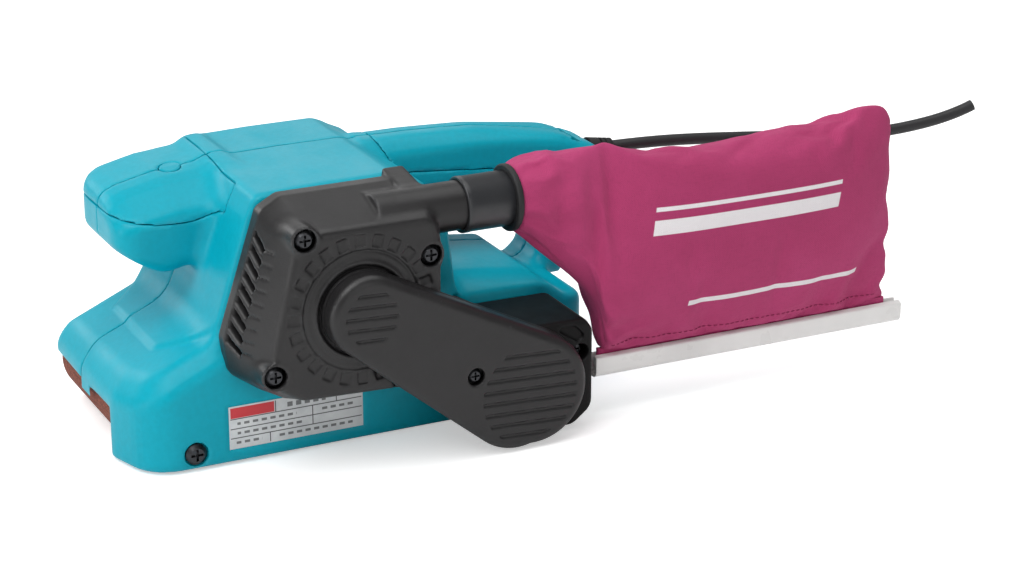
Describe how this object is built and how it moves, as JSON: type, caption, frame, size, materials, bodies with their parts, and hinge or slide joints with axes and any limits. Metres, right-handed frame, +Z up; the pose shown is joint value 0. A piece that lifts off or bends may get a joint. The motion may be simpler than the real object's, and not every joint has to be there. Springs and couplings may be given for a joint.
{
  "type": "handheld belt sander",
  "caption": "Handheld belt sander with a D-shaped rear handle, front grip, side fan housing, inclined toothed-belt cover and a hanging cloth dust bag.",
  "frame": {"origin": "on the sanding belt's flat working face, midway across the belt, near the middle of its flat run", "axes": "+X to the machine's left (fan housing and belt cover side), +Y to the rear (handle, cord and bag), +Z up"},
  "size_m": [0.158, 0.4851, 0.135],
  "materials": {
    "teal_shell": "moulded teal plastic, fine satin texture",
    "black_plastic": "moulded black glass-filled nylon, fine texture",
    "black_steel": "black oxide screws",
    "frame_cast": "as-cast aluminium",
    "steel": "ground steel",
    "roller_alloy": "turned aluminium",
    "rubber_black": "black rubber",
    "abrasive": "cloth-backed aluminium oxide abrasive",
    "graphite_cork": "graphite-faced cork",
    "lamination": "stacked steel laminations",
    "copper": "copper wire and bars",
    "carbon": "carbon",
    "nylon_white": "white nylon",
    "bag_cloth": "woven magenta cloth",
    "clip_plastic": "white extruded plastic",
    "label_foil": "printed metallised foil",
    "cord_pvc": "black flexible sheath"
  },
  "bodies": {
    "body": {"abrasive_belt": "abrasive", "base_frame": "frame_cast", "belt_case": "black_plastic", "belt_cover": "black_plastic", "brush_holders": "black_plastic", "carbon_brushes": "carbon", "case_screws": "black_steel", "cord": "cord_pvc", "cord_clamp": "black_plastic", "cord_guard": "rubber_black", "cork_pad": "graphite_cork", "cover_screw": "black_steel", "drive_bearings": "steel", "fan_baffle": "black_plastic", "fan_housing": "black_plastic", "fan_housing_screws": "black_steel", "field_coils": "copper", "grip_cover_left": "teal_shell", "grip_cover_right": "teal_shell", "grip_screw_plug": "teal_shell", "handle_left": "teal_shell", "handle_lower": "teal_shell", "handle_right": "teal_shell", "handle_screws": "black_steel", "housing_left": "teal_shell", "housing_right": "teal_shell", "housing_screws": "black_steel", "lever_pivot": "steel", "motor_bearings": "steel", "platen": "steel", "platen_screws": "steel", "rating_label": "label_foil", "speed_module": "black_plastic", "stator_core": "lamination", "switch_body": "black_plastic", "timing_belt": "rubber_black"},
    "armature": {"armature_shaft": "steel", "armature_core": "lamination", "commutator": "copper", "cooling_fan": "black_plastic", "dust_fan": "black_plastic", "motor_pulley": "steel"},
    "drive_roller": {"drive_roller": "roller_alloy", "rubber_lagging": "rubber_black", "drive_shaft": "steel", "drive_pulley": "nylon_white"},
    "idler_carriage": {"idler_carriage": "frame_cast", "tension_spring": "steel"},
    "idler_yoke": {"idler_yoke": "steel", "idler_axle": "steel"},
    "idler_roller": {"idler_roller": "roller_alloy"},
    "tension_lever": {"tension_lever": "steel"},
    "tracking_screw": {"tracking_screw": "black_steel"},
    "trigger": {"trigger": "black_plastic"},
    "lock_button": {"lock_button": "black_plastic"},
    "speed_dial": {"speed_dial": "black_plastic"},
    "bag_collar": {"bag_collar": "black_plastic"},
    "dust_bag": {"bag_ring": "rubber_black", "dust_bag": "bag_cloth"},
    "bag_clip": {"bag_clip": "clip_plastic"}
  },
  "joints": [
    {"name": "drive_roller_spin", "type": "hinge", "parent": "body", "child": "drive_roller", "pos_m": [0, 0.07622, 0.026], "axis": [1, 0, 0], "continuous": true},
    {"name": "armature_spin", "type": "hinge", "parent": "body", "child": "armature", "pos_m": [0, -0.0055, 0.077], "axis": [1, 0, 0], "continuous": true},
    {"name": "tension_lever_swing", "type": "hinge", "parent": "body", "child": "tension_lever", "pos_m": [-0.0372, -0.0034, 0.026], "axis": [0, 0, 1], "range_deg": [0, 80]},
    {"name": "idler_tension", "type": "slide", "parent": "body", "child": "idler_carriage", "axis": [0, 1, 0], "range_m": [0, 0.005], "deforming": ["tension_spring"]},
    {"name": "tracking_turn", "type": "hinge", "parent": "body", "child": "tracking_screw", "pos_m": [0.07, -0.0736, 0.0084], "axis": [1, 0, 0], "range_deg": [-180, 180]},
    {"name": "idler_tracking", "type": "hinge", "parent": "idler_carriage", "child": "idler_yoke", "pos_m": [0, -0.036, 0.024], "axis": [0, 0, 1], "range_deg": [-0.5, 0.5]},
    {"name": "idler_roller_spin", "type": "hinge", "parent": "idler_yoke", "child": "idler_roller", "pos_m": [0, -0.08002, 0.021], "axis": [1, 0, 0], "continuous": true},
    {"name": "trigger_pull", "type": "hinge", "parent": "body", "child": "trigger", "pos_m": [0, 0.0635, 0.094], "axis": [1, 0, 0], "range_deg": [0, 8]},
    {"name": "lock_button_press", "type": "slide", "parent": "body", "child": "lock_button", "axis": [1, 0, 0], "range_m": [0, 0.003]},
    {"name": "speed_dial_turn", "type": "hinge", "parent": "body", "child": "speed_dial", "pos_m": [-0.038, 0.036, 0.1], "axis": [1, 0, 0], "range_deg": [0, 270]},
    {"name": "bag_pull_off", "type": "slide", "parent": "body", "child": "bag_collar", "axis": [0, 1, 0], "range_m": [0, 0.03]},
    {"name": "bag_swivel", "type": "hinge", "parent": "bag_collar", "child": "dust_bag", "pos_m": [0.088, 0.073, 0.113], "axis": [0, -1, 0], "range_deg": [0, 90]},
    {"name": "bag_clip_slide", "type": "slide", "parent": "dust_bag", "child": "bag_clip", "axis": [0, 1, 0], "range_m": [0, 0.165]}
  ],
  "couplings": [
    {"joint": "armature_spin", "follows": "drive_roller_spin", "ratio": 2.125},
    {"joint": "idler_roller_spin", "follows": "drive_roller_spin", "ratio": 1.2439},
    {"joint": "tension_lever_swing", "follows": "idler_tension", "rad_per_m": 279.11},
    {"joint": "tracking_turn", "follows": "idler_tracking", "ratio": 359.82}
  ]
}
